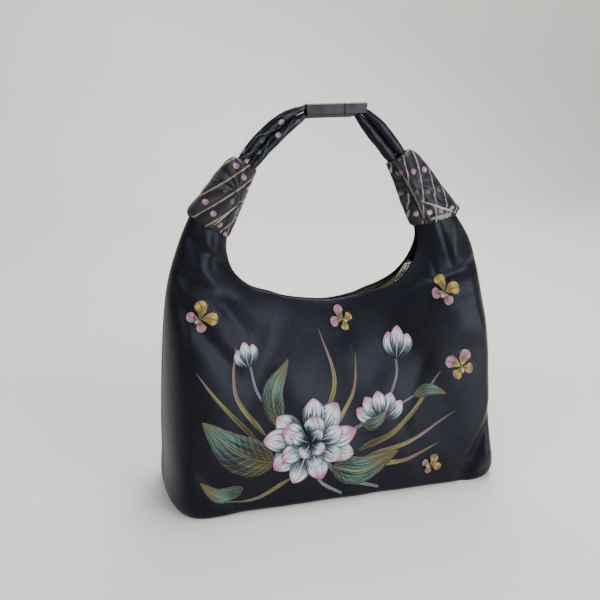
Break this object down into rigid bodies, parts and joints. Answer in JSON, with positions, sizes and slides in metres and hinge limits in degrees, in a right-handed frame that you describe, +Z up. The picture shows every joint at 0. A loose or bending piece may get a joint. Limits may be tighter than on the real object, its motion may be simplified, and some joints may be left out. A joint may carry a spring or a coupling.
{
  "type": "silk shoulder bag",
  "caption": "Small silk satin shoulder bag with a curved zipped mouth, a wound cloth knot on each neck and a handle of paired rolled tubes in a metal sleeve.",
  "frame": {"origin": "centre of the flat base, on the surface that the bag stands on", "axes": "+X to the right along the bag's width seen from the front, +Y to the back, +Z up"},
  "size_m": [0.2616, 0.096, 0.2924],
  "materials": {
    "satin": "silk satin, with a woven flower spray on the front",
    "knot_satin": "silk satin, printed",
    "cord_satin": "silk satin, rolled tight",
    "sleeve_metal": "brushed gunmetal",
    "zip_tape": "woven tape",
    "zip_metal": "polished nickel"
  },
  "bodies": {
    "root": {"bag_body": "satin", "knot_left": "knot_satin", "knot_right": "knot_satin", "cord_left_outer": "cord_satin", "cord_left_inner": "cord_satin", "cord_right_outer": "cord_satin", "cord_right_inner": "cord_satin", "sleeve_long": "sleeve_metal", "sleeve_short": "sleeve_metal", "zip_tape_front": "zip_tape", "zip_tape_back": "zip_tape", "zip_chain": "zip_metal", "zip_slider": "zip_metal"}
  },
  "joints": []
}
